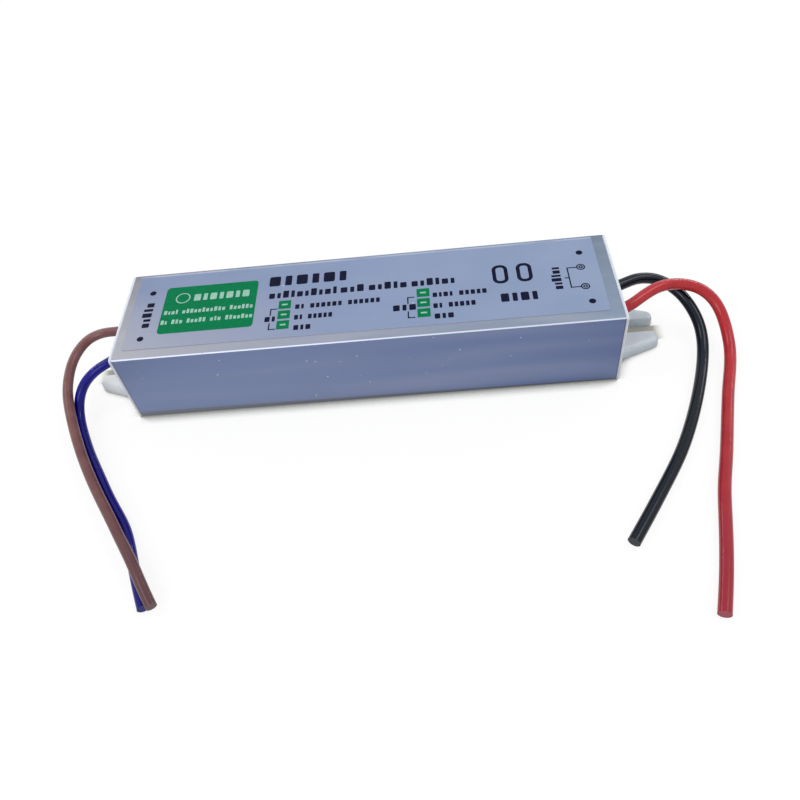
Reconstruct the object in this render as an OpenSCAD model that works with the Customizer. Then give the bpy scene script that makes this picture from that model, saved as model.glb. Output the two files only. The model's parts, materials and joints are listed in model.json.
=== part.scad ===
// Potted LED driver: an extruded tube with a moulded cap and mounting ear at each end.
// Millimetres. The origin is under the middle of the tube, +X towards the output end.

/* [Housing tube] */
// Length of the extruded tube
tube_l = 118.8; // [114:0.1:160]
// Width of the tube
tube_w = 30; // [28:0.5:45]
// Height of the tube
tube_h = 21; // [18.5:0.5:32]
// Wall thickness of the tube
tube_wall = 1.2; // [0.8:0.1:1.5]
// Radius of the four long edges
edge_r = 0.6; // [0.4:0.1:1.4]

/* [Label] */
// Length of the label film
label_l = 114; // [60:1:114]
// Width of the label film
label_w = 26; // [15:0.5:26]
// Thickness of the label film
label_t = 0.15; // [0.1:0.05:0.3]
// How far the label sits towards the input end
label_shift_x = 0.5; // [0:0.1:1]
// How far the label sits towards the back edge
label_shift_y = 1; // [0:0.1:1]

/* [End caps] */
// Thickness of the cap's flange
flange_t = 0.6; // [0.4:0.1:2]
// Depth of the collar that plugs into the tube
collar_l = 5; // [3:0.5:6]
// Wall of the collar
collar_wall = 1.4; // [1:0.1:2]
// Clearance between the collar and the tube
collar_fit = 0.1; // [0.05:0.05:0.2]

/* [Mounting ears] */
// Reach of the ear beyond the flange
ear_l = 11.8; // [9:0.1:16]
// Thickness of the ear
ear_t = 3; // [2:0.1:4]
// Width of the ear at the flange
ear_base_w = 19; // [15:0.1:24]
// Width of the ear near its tip
ear_tip_w = 10.8; // [10.6:0.1:14]
// Radius of the ear's outer top edges and of its two tip corners
ear_edge_r = 1.4; // [0.8:0.1:1.8]
// Radius where the ear runs into the flange
ear_root_r = 1.5; // [0.5:0.1:2]
// Width of the open screw slot
slot_w = 4.6; // [4.2:0.1:4.8]
// Distance from the flange to the centre of the slot's round end
slot_x = 5; // [3.5:0.1:6]
// Radius where the slot opens at the ear's tip
slot_mouth_r = 1.2; // [0.5:0.1:1.4]

/* [Wires] */
// Diameter of the two input wires
input_wire_d = 2.5; // [1.8:0.1:2.6]
// Diameter of the two output wires
output_wire_d = 2.8; // [1.8:0.1:3]
// Spacing between the two wires of one end
wire_pitch = 8; // [7:0.5:11]
// Height of the wire holes
wire_z = 12.5; // [11:0.5:14]
// Clearance round a wire in its hole
wire_fit = 0.15; // [0.1:0.05:0.3]
// Diameter of the bare conductor
conductor_d = 1; // [0.6:0.1:1.2]
// Length of conductor that is stripped bare
strip_l = 3; // [2:0.5:4]

/* [Circuit board] */
// Thickness of the board
pcb_t = 1.6; // [1:0.1:2]
// Height of the board above the tube's floor
pcb_standoff = 2.8; // [2.2:0.1:3]
// Gap between the board and the side walls
pcb_side_gap = 1; // [0.5:0.1:1.5]
// Gap between the board and the collars
pcb_end_gap = 0.5; // [0.3:0.1:1]
// Distance from the board's end to the wire pads
pad_inset = 4; // [3:0.5:4.5]
// Clearance round a lead in its hole
lead_fit = 0.15; // [0.1:0.05:0.2]
// Length of lead below the board
lead_tail = 1; // [0.6:0.1:1.4]
// Width of the solder fillet round a lead
solder_w = 0.5; // [0.3:0.1:0.6]
// Gap between neighbouring parts on the board
part_gap = 0.9; // [0.7:0.1:1]

/* [Transformer] */
// Place of the transformer along the board
core_x = 3; // [1:0.5:4]
// Length of the two core halves together
core_l = 14.4; // [13.6:0.2:15]
// Width across the outer legs
core_w = 16; // [15.4:0.2:17]
// Thickness of the core
core_t = 4.8; // [4:0.2:5.6]
// Width of the centre leg
core_leg_w = 4; // [3.4:0.2:4.4]
// Width of one outer leg
core_side_w = 2.1; // [1.6:0.1:2.2]
// Thickness of the core's back
core_back = 2; // [1.6:0.1:2.4]
// Air gap ground into each centre leg
core_air_gap = 0.15; // [0.1:0.05:0.3]
// Wall of the bobbin
bobbin_wall = 0.7; // [0.5:0.1:0.8]
// Clearance between the bobbin and the core
bobbin_fit = 0.2; // [0.1:0.05:0.3]
// Gap between the bobbin's flanges and the tube's roof
bobbin_roof_gap = 1.4; // [1.2:0.1:2.2]
// How far the winding stays below the flange's edge
winding_inset = 0.5; // [0.3:0.1:0.8]
// Diameter of a bobbin pin
pin_d = 0.6; // [0.5:0.1:0.7]
// Spacing of the bobbin pins
pin_pitch = 3; // [2.6:0.1:3.2]

/* [Capacitors] */
// Diameter of the input capacitor
incap_d = 10; // [8:0.5:11]
// Length of the input capacitor
incap_l = 16; // [12:0.5:17]
// Diameter of each output capacitor
outcap_d = 8; // [6.3:0.1:8.5]
// Gap between the output capacitors and the tube's roof
outcap_roof_gap = 1.7; // [1.7:0.1:4]
// Diameter of the safety capacitor
ycap_d = 9; // [8.5:0.5:10]
// Thickness of the safety capacitor
ycap_t = 4; // [3:0.2:4.4]
// Diameter of the snubber capacitor
snubcap_d = 5; // [4:0.5:6]
// Thickness of the snubber capacitor
snubcap_t = 2.6; // [2:0.2:3]

/* [Small parts] */
// Diameter of a common lead
lead_d = 0.7; // [0.5:0.1:0.8]
// Diameter of the fuse
fuse_d = 3; // [2.4:0.1:3.4]
// Length of the fuse
fuse_l = 8; // [6:0.5:8.5]
// Diameter of the varistor
varistor_d = 7.5; // [6:0.5:9]
// Thickness of the varistor
varistor_t = 3.6; // [3:0.2:4]
// Diameter of the input choke
inchoke_d = 8; // [6:0.5:8.5]
// Height of the input choke
inchoke_h = 9.5; // [8:0.5:12]
// Diameter of the output choke
outchoke_d = 6; // [5:0.5:7]
// Height of the output choke
outchoke_h = 10; // [8:0.5:12]
// Length of the bridge rectifier
bridge_l = 8.4; // [7.6:0.2:9]
// Length of the controller
controller_l = 9.3; // [9.1:0.1:9.9]
// Length of the optocoupler
opto_l = 4.6; // [4.2:0.1:5]
// Width of the flat packages
package_w = 6.4; // [6:0.1:6.6]
// Height of the flat packages
package_h = 3.3; // [2.8:0.1:3.6]
// Diameter of the snubber diode
snubdiode_d = 2.7; // [2:0.1:3]
// Length of the snubber diode
snubdiode_l = 5.2; // [4:0.2:6]
// Diameter of the output diode
outdiode_d = 5.2; // [4.6:0.1:5.6]
// Length of the output diode
outdiode_l = 9; // [8:0.5:9.5]
// Diameter of the output diode's leads
outdiode_lead_d = 1.2; // [1:0.1:1.3]
// Diameter of the voltage reference
reference_d = 4.8; // [4.4:0.1:5]
// Height of the voltage reference
reference_h = 4.6; // [4:0.2:5]
// Diameter of a resistor
resistor_d = 2.4; // [1.8:0.1:2.6]
// Length of a resistor
resistor_l = 6.3; // [5:0.1:6.6]

/* [Hidden] */
$fn = 48;
// How far a cut runs past the faces it goes through
cut_over = 1;

// Housing and caps
inner_w = tube_w - 2*tube_wall;
inner_h = tube_h - 2*tube_wall;
inner_r_min = 0.3;
inner_r = max(edge_r - tube_wall/2, inner_r_min);
collar_w = inner_w - 2*collar_fit;
collar_h = inner_h - 2*collar_fit;
cap_x = tube_l/2 + flange_t;
// How far a round dips below the straight side that it runs into
blend_sink = 0.02;

// One half of an ear in plan, from the flange's outer face at x = 0
ear_tip = [ear_l - ear_edge_r, ear_tip_w/2 - ear_edge_r];
ear_root = [0, ear_base_w/2];
ear_side = tangent_point(ear_root, ear_tip, ear_edge_r - blend_sink);
ear_taper = atan2(ear_root.y - ear_side.y, ear_side.x);
ear_rim_root = [0, ear_tip.y + ear_tip.x*tan(ear_taper)];
ear_rim_z = ear_t - ear_edge_r;

// Circuit board
pcb_l = tube_l - 2*collar_l - 2*pcb_end_gap;
pcb_w = inner_w - 2*pcb_side_gap;
pcb_z = tube_wall + pcb_standoff;
pcb_top = pcb_z + pcb_t;
pad_x = pcb_l/2 - pad_inset;
row_y = pcb_w/4;
strip_x = pad_x + strip_l;
parts_room = tube_h - tube_wall - pcb_top;
outcap_h = parts_room - outcap_roof_gap;

// Leads of the parts
axial_bend = 1.8;
lead_gap = 2.2;
lead_sink = 1;
solder_tip = 0.1;
fuse_span = fuse_l + 2*axial_bend;
snubdiode_span = snubdiode_l + 2*axial_bend;
outdiode_span = outdiode_l + 2*(axial_bend + outdiode_lead_d/2);
resistor_span = resistor_l + 2*axial_bend;
disc_stand = 0.8;
radial_pitch = 5;
ycap_pitch = 7.5;
outcap_pitch = 3.5;
outchoke_pitch = 3;
incap_lead_x = 1.6;
dip_pitch = 2.54;
dip_leg_out = 0.6;
dip_row = package_w + 2*dip_leg_out;
dip_stand = 0.5;
dip_pin_d = 0.5;
bridge_pitch = 5.1;
reference_stand = 1.6;
reference_pitch = 2;
reference_lead_d = 0.5;

// Row of parts from the transformer towards the input end, front row first
snub_x = core_x - core_l/2 - part_gap - max(snubdiode_d, snubcap_t)/2;
snub_edge = snub_x - max(snubdiode_d, snubcap_t)/2;
incap_x = snub_edge - part_gap - incap_l/2;
incap_tail = incap_x - incap_l/2 - incap_lead_x;
bridge_x = incap_tail - lead_d/2 - part_gap - bridge_l/2;
varistor_x = bridge_x - bridge_l/2 - part_gap - varistor_t/2;
controller_x = snub_edge - part_gap - controller_l/2;
startup_x = controller_x - controller_l/2 - part_gap - resistor_d/2;
inchoke_x = startup_x - resistor_d/2 - part_gap - inchoke_d/2;
fuse_x = inchoke_x - inchoke_d/2 - part_gap - fuse_span/2;

// Row of parts from the transformer towards the output end
barrier_edge = core_x + core_l/2 + part_gap;
ycap_x = barrier_edge + ycap_t/2;
outdiode_x = ycap_x + ycap_t/2 + part_gap + outdiode_span/2;
outchoke_x = outdiode_x + outdiode_span/2 + part_gap + outchoke_d/2;
opto_x = barrier_edge + opto_l/2;
reference_x = opto_x + opto_l/2 + part_gap + reference_d/2;
outcap_1_x = reference_x + reference_d/2 + part_gap + outcap_d/2;
outcap_2_x = outcap_1_x + outcap_d + part_gap;
bleeder_x = outcap_2_x + outcap_d/2 + part_gap + resistor_d/2;
divider_1_x = ycap_x + ycap_t/2 + part_gap + resistor_span/2;
divider_2_x = divider_1_x + resistor_span + lead_gap;
divider_y = -resistor_d/2;

// Transformer heights and bobbin
bobbin_stand = 0.4;
bobbin_h = parts_room - bobbin_stand - bobbin_roof_gap;
core_z = pcb_top + bobbin_stand + bobbin_h/2;
window_l = core_l - 2*core_back;
window_w = core_w - 2*core_side_w;
bobbin_l = window_l - 2*bobbin_fit;
bobbin_w = window_w - 2*bobbin_fit;
bobbin_hole_w = core_leg_w + 2*bobbin_fit;
bobbin_hole_h = core_t + 2*bobbin_fit;
bobbin_tube_w = bobbin_hole_w + 2*bobbin_wall;
bobbin_tube_h = bobbin_hole_h + 2*bobbin_wall;
rail_l = 2.2;
rail_x = bobbin_l/2 + bobbin_fit + rail_l/2 - bobbin_wall;
rail_top = core_z - core_t/2 - bobbin_fit;
pin_depth = 1.5;
pin_count = 4;

// Pairs of lead places: a centre, half a pitch along x and half a pitch along y
function pair(x, y, hx, hy, d) = [[x - hx, y - hy, d], [x + hx, y + hy, d]];
function dip_rows(x, y, columns, pitch) = [
    for (i = [0 : columns - 1], s = [-1, 1])
        [x + (i - (columns - 1)/2)*pitch, y + s*dip_row/2, dip_pin_d]
];

RESISTORS = [
    [startup_x, row_y, 90],
    [divider_1_x, divider_y, 0],
    [divider_2_x, divider_y, 0],
    [bleeder_x, row_y, 90]
];
CONDUCTORS = [for (sx = [-1, 1], sy = [-1, 1]) [sx*pad_x, sy*wire_pitch/2, conductor_d]];
BOBBIN_PINS = [
    for (s = [-1, 1], i = [0 : pin_count - 1])
        [core_x + s*rail_x, (i - (pin_count - 1)/2)*pin_pitch, pin_d]
];
LEADS = concat(
    CONDUCTORS,
    BOBBIN_PINS,
    pair(fuse_x, row_y, fuse_span/2, 0, lead_d),
    pair(varistor_x, -row_y, 0, radial_pitch/2, lead_d),
    pair(inchoke_x, row_y, radial_pitch/2, 0, lead_d),
    dip_rows(bridge_x, -row_y, 2, bridge_pitch),
    pair(incap_tail, -row_y, 0, radial_pitch/2, lead_d),
    dip_rows(controller_x, row_y, 4, dip_pitch),
    pair(snub_x, row_y, 0, snubdiode_span/2, lead_d),
    pair(snub_x, -row_y, 0, radial_pitch/2, lead_d),
    pair(ycap_x, -row_y, 0, ycap_pitch/2, lead_d),
    dip_rows(opto_x, row_y, 2, dip_pitch),
    [for (i = [-1, 0, 1]) [reference_x + i*reference_pitch, row_y, reference_lead_d]],
    pair(outdiode_x, -row_y, outdiode_span/2, 0, outdiode_lead_d),
    pair(outcap_1_x, row_y, outcap_pitch/2, 0, lead_d),
    pair(outcap_2_x, row_y, outcap_pitch/2, 0, lead_d),
    pair(outchoke_x, -row_y, outchoke_pitch/2, 0, lead_d),
    [for (r = RESISTORS, s = [-1, 1])
        [r[0] + s*cos(r[2])*resistor_span/2, r[1] + s*sin(r[2])*resistor_span/2, lead_d]]
);

// Routes of the wires, from the stripped end inside to the free end
wire_sides = 8;
BROWN_ROUTE = [
    [-strip_x, wire_pitch/2, wire_z], [-cap_x, wire_pitch/2, wire_z],
    [-63, 4, 12.5], [-66, 4, 12.5], [-69.5, 4.5, 12], [-73, 3.5, 11.5], [-75.5, 1, 10.5],
    [-77, -3, 9.5], [-77, -8.5, 8.5], [-76.5, -13, 7], [-74.5, -19, 5.4], [-71.5, -26, 4.3],
    [-67.5, -33.5, 3.8], [-63.5, -40, 3.8], [-58.5, -47.5, 3.8], [-55, -53, 3.9],
    [-51, -59, 3.9], [-48, -64.5, 3.5], [-45.5, -68.5, 3]
];
BLUE_ROUTE = [
    [-strip_x, -wire_pitch/2, wire_z], [-cap_x, -wire_pitch/2, wire_z],
    [-62.5, -5, 12.5], [-65.5, -6.5, 12], [-69, -8, 11], [-72.5, -9.5, 8.5], [-74.5, -12, 5.5],
    [-74.5, -16, 2.7], [-72.5, -21, 1.5], [-69.5, -27, 1.3], [-65.5, -33.5, 1.3],
    [-62, -39.5, 1.3], [-58.5, -44.5, 1.3], [-55.5, -49, 1.3], [-53, -55.5, 1.3],
    [-51, -61, 1.3], [-48, -68, 1.3]
];
BLACK_ROUTE = [
    [strip_x, wire_pitch/2, wire_z], [cap_x, wire_pitch/2, wire_z],
    [63, 5, 12.5], [66.5, 7, 12.5], [70, 7.5, 12], [73.5, 7.5, 11], [78.5, 5, 8.5],
    [81.5, -1, 5.5], [82, -6, 3], [81, -11, 1.6], [79, -17, 1.4], [76, -24.5, 1.4],
    [72.5, -32, 1.4], [69, -38.5, 1.4], [65, -44.5, 1.4], [61.5, -49.5, 1.4],
    [58, -54.5, 1.4], [54, -60, 1.4]
];
RED_ROUTE = [
    [strip_x, -wire_pitch/2, wire_z], [cap_x, -wire_pitch/2, wire_z],
    [63, -3.5, 13], [66.5, -1, 13.5], [70.5, 1.5, 14], [74.5, 3, 13.5], [78.5, 3.5, 12.5],
    [82.5, 3, 11], [85.5, 0.5, 9], [87, -2.5, 6.5], [87.5, -6, 4.5], [87.5, -10.5, 2.5],
    [86, -16, 1.6], [84, -21.5, 1.4], [82, -28, 1.4], [80, -34.5, 1.4], [78, -41, 1.4],
    [75.5, -48, 1.4], [74, -54, 1.4], [72.5, -60, 1.4], [71, -65.5, 1.4], [69.5, -70.5, 1.4],
    [67.5, -76.5, 1.4]
];

// A rectangle with round corners, centred
module rounded_rect(w, h, r) {
    square([w - 2*r, h], center = true);
    square([w, h - 2*r], center = true);
    for (x = [-1, 1], y = [-1, 1])
        translate([x*(w/2 - r), y*(h/2 - r)]) circle(r);
}

// A profile across the tube, given as width and height about the tube's axis, run along x
module along_x(x0, x1) {
    translate([x0, 0, tube_h/2]) rotate([90, 0, 90]) linear_extrude(x1 - x0) children();
}

module housing_tube() {
    color("slategray")
        along_x(-tube_l/2, tube_l/2)
            difference() {
                rounded_rect(tube_w, tube_h, edge_r);
                rounded_rect(inner_w, inner_h, inner_r);
            }
}

module label_film() {
    color("lightsteelblue")
        translate([-label_shift_x, label_shift_y, tube_h])
            linear_extrude(label_t) square([label_l, label_w], center = true);
}

// Point where a line from p touches a circle
function tangent_point(p, c, r) =
    let (v = p - c, a = atan2(v.y, v.x) - acos(r/norm(v)))
    c + r*[cos(a), sin(a)];

// Plan of one ear without its slot: tapered sides, round tip corners and root radii
module ear_outline() {
    root_up = ear_root_r*(1 - sin(ear_taper))/cos(ear_taper);
    root_centre = ear_root + [ear_root_r, root_up];
    root_under = root_centre - (ear_root_r + ear_edge_r)*[sin(ear_taper), cos(ear_taper)];
    for (s = [0, 1]) mirror([0, s]) {
        polygon([[0, 0], ear_root, ear_side, ear_tip, [ear_tip.x, 0]]);
        translate(ear_tip) circle(ear_edge_r);
        difference() {
            polygon([[0, 0], ear_root + [0, root_up], root_centre, root_under]);
            translate(root_centre) circle(ear_root_r + blend_sink);
        }
    }
    translate([ear_tip.x, -ear_tip.y]) square([ear_edge_r, 2*ear_tip.y]);
}

// The screw slot, open at the tip
module ear_slot() {
    translate([slot_x, 0]) circle(d = slot_w);
    translate([slot_x, -slot_w/2]) square([ear_l, slot_w]);
    for (s = [0, 1]) mirror([0, s]) slot_mouth();
}

// The corner that the slot's mouth rounds off one prong
module slot_mouth() {
    corner = [ear_l, slot_w/2];
    side = slot_mouth_r + cut_over;
    difference() {
        translate(corner - [slot_mouth_r, cut_over]) square(side);
        translate(corner + [-slot_mouth_r, slot_mouth_r]) circle(slot_mouth_r + blend_sink);
    }
}

// The round that runs along the ear's sides and across its tip
module ear_rim() {
    rim_r = ear_edge_r + blend_sink;
    for (s = [0, 1]) mirror([0, s, 0]) {
        translate([ear_tip.x, ear_tip.y, ear_rim_z]) {
            sphere(rim_r + blend_sink);
            rotate([0, -90, -ear_taper]) cylinder(h = ear_l, r = rim_r);
        }
        translate([ear_tip.x, 0, ear_rim_z]) rotate([-90, 0, 0]) cylinder(h = ear_tip.y, r = rim_r);
    }
}

// One ear: full outline below the round, and drawn in above it
module ear() {
    difference() {
        intersection() {
            linear_extrude(ear_t) ear_outline();
            union() {
                translate([0, -tube_w/2, 0]) cube([ear_l + cut_over, tube_w, ear_rim_z]);
                linear_extrude(ear_t)
                    polygon([
                        ear_rim_root, ear_tip,
                        [ear_tip.x, -ear_tip.y], [ear_rim_root.x, -ear_rim_root.y]
                    ]);
                ear_rim();
            }
        }
        translate([0, 0, -cut_over]) linear_extrude(ear_t + 2*cut_over) ear_slot();
    }
}

// A cap at the +X end: flange, collar, ear and two wire holes
module end_cap(wire_d) {
    difference() {
        union() {
            along_x(tube_l/2, cap_x) rounded_rect(tube_w, tube_h, edge_r);
            along_x(tube_l/2 - collar_l, tube_l/2)
                difference() {
                    rounded_rect(collar_w, collar_h, inner_r);
                    square([collar_w - 2*collar_wall, collar_h - 2*collar_wall], center = true);
                }
            translate([cap_x, 0, 0]) ear();
        }
        for (s = [-1, 1])
            translate([tube_l/2 - cut_over, s*wire_pitch/2, wire_z])
                rotate([0, 90, 0])
                    cylinder(h = flange_t + 2*cut_over, d = wire_d + 2*wire_fit);
    }
}

module end_cap_input() {
    color("gainsboro") rotate([0, 0, 180]) end_cap(input_wire_d);
}

module end_cap_output() {
    color("gainsboro") end_cap(output_wire_d);
}

// A tube swept along a route, one ring of corners at each point
function unit(v) = v/norm(v);
function heading(p, i) = unit(p[min(i + 1, len(p) - 1)] - p[max(i - 1, 0)]);
function ring(p, i, r) =
    let (t = heading(p, i), s = unit(cross(t, [0, 0, 1])), u = cross(s, t))
    [for (k = [0 : wire_sides - 1])
        let (a = 360*(k + 0.5)/wire_sides)
        p[i] + r*(cos(a)*s + sin(a)*u)];

module wire(route, d) {
    last = len(route) - 1;
    n = wire_sides;
    corners = [for (i = [0 : last]) each ring(route, i, d/2)];
    sides = [for (i = [0 : last - 1], k = [0 : n - 1])
        [i*n + k, i*n + (k + 1) % n, (i + 1)*n + (k + 1) % n, (i + 1)*n + k]];
    start = [for (k = [n - 1 : -1 : 0]) k];
    end = [for (k = [0 : n - 1]) last*n + k];
    polyhedron(corners, concat(sides, [start, end]), convexity = 6);
}

module wire_brown() {
    color("rosybrown") wire(BROWN_ROUTE, input_wire_d);
}

module wire_blue() {
    color("mediumblue") wire(BLUE_ROUTE, input_wire_d);
}

module wire_black() {
    color("black") wire(BLACK_ROUTE, output_wire_d);
}

module wire_red() {
    color("firebrick") wire(RED_ROUTE, output_wire_d);
}

// The straight stretch of one end's wires inside the housing
module wire_cores(end, d) {
    for (s = [-1, 1])
        translate([end > 0 ? strip_x : -tube_l/2, s*wire_pitch/2, wire_z])
            rotate([0, 90, 0]) cylinder(h = tube_l/2 - strip_x, d = d);
}

// A round lead from a height down through the board
module lead(x, y, top, d) {
    translate([x, y, pcb_z - lead_tail]) cylinder(h = top - pcb_z + lead_tail, d = d);
}

module conductor_ends() {
    color("peru")
        for (c = CONDUCTORS) {
            lead(c.x, c.y, wire_z, conductor_d);
            translate([c.x, c.y, wire_z]) sphere(d = conductor_d);
            translate([c.x, c.y, wire_z])
                rotate([0, sign(c.x)*90, 0]) cylinder(h = strip_l, d = conductor_d);
        }
}

module circuit_board() {
    color("darkgoldenrod")
        difference() {
            board_blank();
            for (p = LEADS)
                translate([p.x, p.y, pcb_z - cut_over])
                    cylinder(h = pcb_t + 2*cut_over, d = p[2] + 2*lead_fit);
        }
}

module board_blank() {
    translate([-pcb_l/2, -pcb_w/2, pcb_z]) cube([pcb_l, pcb_w, pcb_t]);
}

module solder_cone(p) {
    translate([p.x, p.y, pcb_z - lead_tail])
        cylinder(h = lead_tail, d1 = p[2] + 2*solder_tip, d2 = p[2] + 2*lead_fit + 2*solder_w);
}

module solder_joints() {
    color("silver")
        for (p = LEADS)
            difference() {
                solder_cone(p);
                translate([p.x, p.y, pcb_z - lead_tail - cut_over])
                    cylinder(h = lead_tail + 2*cut_over, d = p[2]);
            }
}

// An axial part lying on the board along x, its leads bent down at both ends
module axial_part(x, y, turn, body_d, body_l, d, span) {
    z = pcb_top + body_d/2;
    bead = body_d/6;
    translate([x, y, 0]) rotate([0, 0, turn]) {
        translate([-body_l/2, 0, z]) rotate([0, 90, 0])
            rotate_extrude()
                polygon([
                    [0, 0], [body_d/2 - bead, 0], [body_d/2, bead],
                    [body_d/2, body_l - bead], [body_d/2 - bead, body_l], [0, body_l]
                ]);
        for (s = [-1, 1]) {
            lead(s*span/2, 0, z, d);
            translate([s*span/2, 0, z]) sphere(d = d);
        }
        translate([-span/2, 0, z]) rotate([0, 90, 0]) cylinder(h = span, d = d);
    }
}

// A lacquered disc standing on its edge across the board
module disc_part(x, y, disc_d, disc_t, pitch) {
    r = disc_t/2.5;
    z = pcb_top + disc_stand + disc_d/2;
    translate([x, y, z]) rotate([0, 90, 0])
        rotate_extrude() {
            translate([0, -disc_t/2]) square([disc_d/2 - r, disc_t]);
            translate([0, r - disc_t/2]) square([disc_d/2, disc_t - 2*r]);
            for (s = [-1, 1]) translate([disc_d/2 - r, s*(disc_t/2 - r)]) circle(r);
        }
    for (s = [-1, 1]) lead(x, y + s*pitch/2, z, lead_d);
}

// A capacitor can on its own axis: rolled rim, bead groove and sleeve
module can(d, h) {
    groove_r = d/12;
    vent_depth = 0.2;
    rotate_extrude()
        difference() {
            square([d/2, h]);
            translate([d/2, 2*groove_r]) circle(groove_r);
            translate([d/2, 0]) rotate(45) square(groove_r, center = true);
            translate([0, h - vent_depth]) square([d/3, 2*vent_depth]);
        }
}

// A drum core with its winding, standing on the board
module drum_choke(x, y, d, h, pitch) {
    rim = h/6;
    waist = d/16;
    translate([x, y, pcb_top])
        rotate_extrude()
            polygon([
                [0, 0], [d/2, 0], [d/2, rim], [d/2 - waist, rim],
                [d/2 - waist, h - rim], [d/2, h - rim], [d/2, h], [0, h]
            ]);
    for (s = [-1, 1]) lead(x + s*pitch/2, y, pcb_top + lead_sink, lead_d);
}

// A flat package on two rows of bent legs
module dip_package(x, y, body_l, columns, pitch) {
    leg_w = 1.2;
    leg_t = 0.3;
    body_z = pcb_top + dip_stand;
    leg_z = body_z + package_h/2;
    draft = 0.25;
    translate([x, y, body_z + package_h/2])
        rotate([90, 0, 90])
            translate([0, 0, -body_l/2])
                linear_extrude(body_l)
                    polygon([
                        [draft - package_w/2, -package_h/2], [package_w/2 - draft, -package_h/2],
                        [package_w/2, 0], [package_w/2 - draft, package_h/2],
                        [draft - package_w/2, package_h/2], [-package_w/2, 0]
                    ]);
    for (i = [0 : columns - 1], s = [-1, 1]) {
        leg_x = x + (i - (columns - 1)/2)*pitch;
        leg_y = y + s*dip_row/2;
        translate([leg_x, leg_y, (pcb_top + leg_z)/2])
            cube([leg_w, leg_t, leg_z - pcb_top], center = true);
        translate([leg_x, (y + leg_y + s*leg_t/2)/2, leg_z - leg_t/2])
            cube([leg_w, (dip_row + leg_t)/2, leg_t], center = true);
        lead(leg_x, leg_y, pcb_top + leg_t, dip_pin_d);
    }
}

module fuse() {
    color("tan") axial_part(fuse_x, row_y, 0, fuse_d, fuse_l, lead_d, fuse_span);
}

module varistor() {
    color("royalblue") disc_part(varistor_x, -row_y, varistor_d, varistor_t, radial_pitch);
}

module input_choke() {
    color("dimgray") drum_choke(inchoke_x, row_y, inchoke_d, inchoke_h, radial_pitch);
}

module bridge_rectifier() {
    color("darkslategray") dip_package(bridge_x, -row_y, bridge_l, 2, bridge_pitch);
}

module input_capacitor() {
    z = pcb_top + incap_d/2;
    color("midnightblue") {
        translate([incap_x - incap_l/2, -row_y, z]) rotate([0, 90, 0]) can(incap_d, incap_l);
        for (s = [-1, 1]) {
            y = s*radial_pitch/2 - row_y;
            lead(incap_tail, y, z, lead_d);
            translate([incap_tail, y, z]) sphere(d = lead_d);
            translate([incap_tail, y, z])
                rotate([0, 90, 0]) cylinder(h = incap_lead_x + lead_sink, d = lead_d);
        }
    }
}

module controller() {
    color("darkslategray") dip_package(controller_x, row_y, controller_l, 4, dip_pitch);
}

module snubber_diode() {
    color("black")
        axial_part(snub_x, row_y, 90, snubdiode_d, snubdiode_l, lead_d, snubdiode_span);
}

module snubber_capacitor() {
    color("chocolate") disc_part(snub_x, -row_y, snubcap_d, snubcap_t, radial_pitch);
}

// One E-shaped core half on the +X side of the parting plane
module core_half() {
    difference() {
        translate([0, -core_w/2, -core_t/2]) cube([core_l/2, core_w, core_t]);
        for (y = [-window_w/2, core_leg_w/2])
            translate([-cut_over, y, -core_t/2 - cut_over])
                cube([window_l/2 + cut_over, (window_w - core_leg_w)/2, core_t + 2*cut_over]);
        translate([-cut_over, -window_w/2, -core_t/2 - cut_over])
            cube([core_air_gap + cut_over, window_w, core_t + 2*cut_over]);
    }
}

module transformer_core_input() {
    color("dimgray") translate([core_x, 0, core_z]) rotate([0, 0, 180]) core_half();
}

module transformer_core_output() {
    color("dimgray") translate([core_x, 0, core_z]) core_half();
}

module transformer_bobbin() {
    color("darkolivegreen")
        difference() {
            union() {
                translate([core_x, 0, core_z])
                    cube([bobbin_l, bobbin_tube_w, bobbin_tube_h], center = true);
                for (s = [-1, 1]) {
                    translate([core_x + s*(bobbin_l - bobbin_wall)/2, 0, core_z])
                        cube([bobbin_wall, bobbin_w, bobbin_h], center = true);
                    translate([core_x + s*rail_x - rail_l/2, -bobbin_w/2, pcb_top])
                        cube([rail_l, bobbin_w, rail_top - pcb_top]);
                }
            }
            translate([core_x, 0, core_z])
                cube([core_l, bobbin_hole_w, bobbin_hole_h], center = true);
            for (p = BOBBIN_PINS)
                translate([p.x, p.y, pcb_top - cut_over])
                    cylinder(h = pin_depth + cut_over, d = pin_d);
        }
}

module transformer_winding() {
    winding_l = bobbin_l - 2*bobbin_wall;
    winding_r = 2;
    color("gold")
        translate([core_x - winding_l/2, 0, core_z])
            rotate([90, 0, 90])
                linear_extrude(winding_l)
                    difference() {
                        rounded_rect(bobbin_w - 2*winding_inset, bobbin_h - 2*winding_inset, winding_r);
                        square([bobbin_tube_w, bobbin_tube_h], center = true);
                    }
}

module transformer_pins() {
    color("silver") for (p = BOBBIN_PINS) lead(p.x, p.y, pcb_top + pin_depth, pin_d);
}

module safety_capacitor() {
    color("steelblue") disc_part(ycap_x, -row_y, ycap_d, ycap_t, ycap_pitch);
}

module optocoupler() {
    color("white") dip_package(opto_x, row_y, opto_l, 2, dip_pitch);
}

module voltage_reference() {
    flat = reference_d/4;
    color("black") {
        translate([reference_x, row_y, pcb_top + reference_stand])
            linear_extrude(reference_h)
                difference() {
                    circle(d = reference_d);
                    translate([-reference_d, -flat - reference_d])
                        square([2*reference_d, reference_d]);
                }
        for (i = [-1, 0, 1])
            lead(reference_x + i*reference_pitch, row_y,
                 pcb_top + reference_stand + lead_sink, reference_lead_d);
    }
}

module output_diode() {
    color("black")
        axial_part(outdiode_x, -row_y, 0, outdiode_d, outdiode_l, outdiode_lead_d, outdiode_span);
}

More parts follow.
